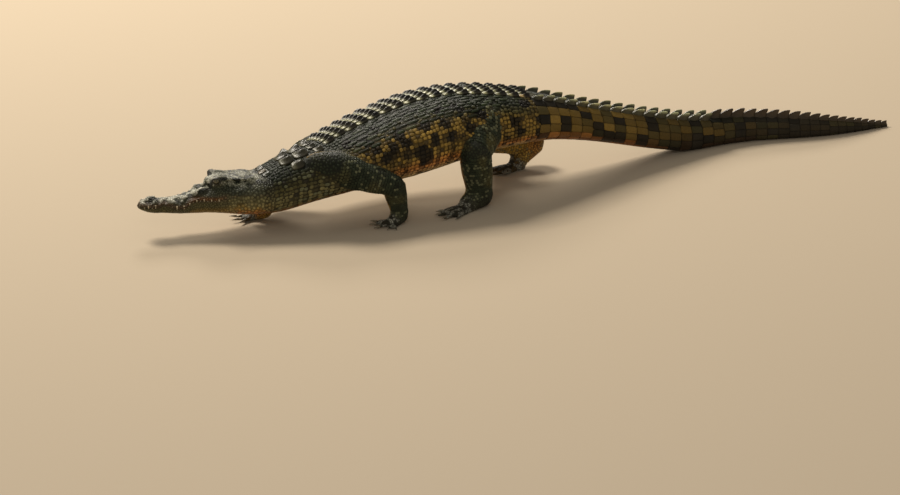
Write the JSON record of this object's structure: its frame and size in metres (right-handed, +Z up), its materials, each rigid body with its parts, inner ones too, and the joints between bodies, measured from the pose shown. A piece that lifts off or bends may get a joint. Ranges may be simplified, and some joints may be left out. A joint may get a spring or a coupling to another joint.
{
  "type": "crocodile model",
  "caption": "Life-size still model of a young adult Nile crocodile walking, mouth closed, hind part of the long tail lying on the floor.",
  "frame": {"origin": "bottom centre of the bounding box, on the floor the animal stands on", "axes": "-Y towards the head, +X towards the animal's left side, +Z up"},
  "size_m": [0.4452, 2.5324, 0.3232],
  "materials": {
    "hide": "dry horny scales, olive grey above, yellow and black on the flanks",
    "horn": "satin dark horn",
    "cornea": "wet glossy, olive iris with an upright slit pupil"
  },
  "bodies": {
    "root": {"belly": "hide", "chest": "hide", "head": "hide", "lower_jaw": "hide", "neck": "hide", "pelvis": "hide", "tail_1": "hide", "tail_2": "hide", "tail_3": "hide", "tail_4": "hide", "tail_5": "hide", "front_left_upper": "hide", "front_left_lower": "hide", "front_left_foot": "hide", "front_right_upper": "hide", "front_right_lower": "hide", "front_right_foot": "hide", "hind_left_upper": "hide", "hind_left_lower": "hide", "hind_left_foot": "hide", "hind_right_upper": "hide", "hind_right_lower": "hide", "hind_right_foot": "hide", "claw_front_left_1": "horn", "claw_front_left_2": "horn", "claw_front_left_3": "horn", "claw_front_right_1": "horn", "claw_front_right_2": "horn", "claw_front_right_3": "horn", "claw_hind_left_1": "horn", "claw_hind_left_2": "horn", "claw_hind_left_3": "horn", "claw_hind_right_1": "horn", "claw_hind_right_2": "horn", "claw_hind_right_3": "horn", "eye_left": "cornea", "eye_right": "cornea"}
  },
  "joints": []
}
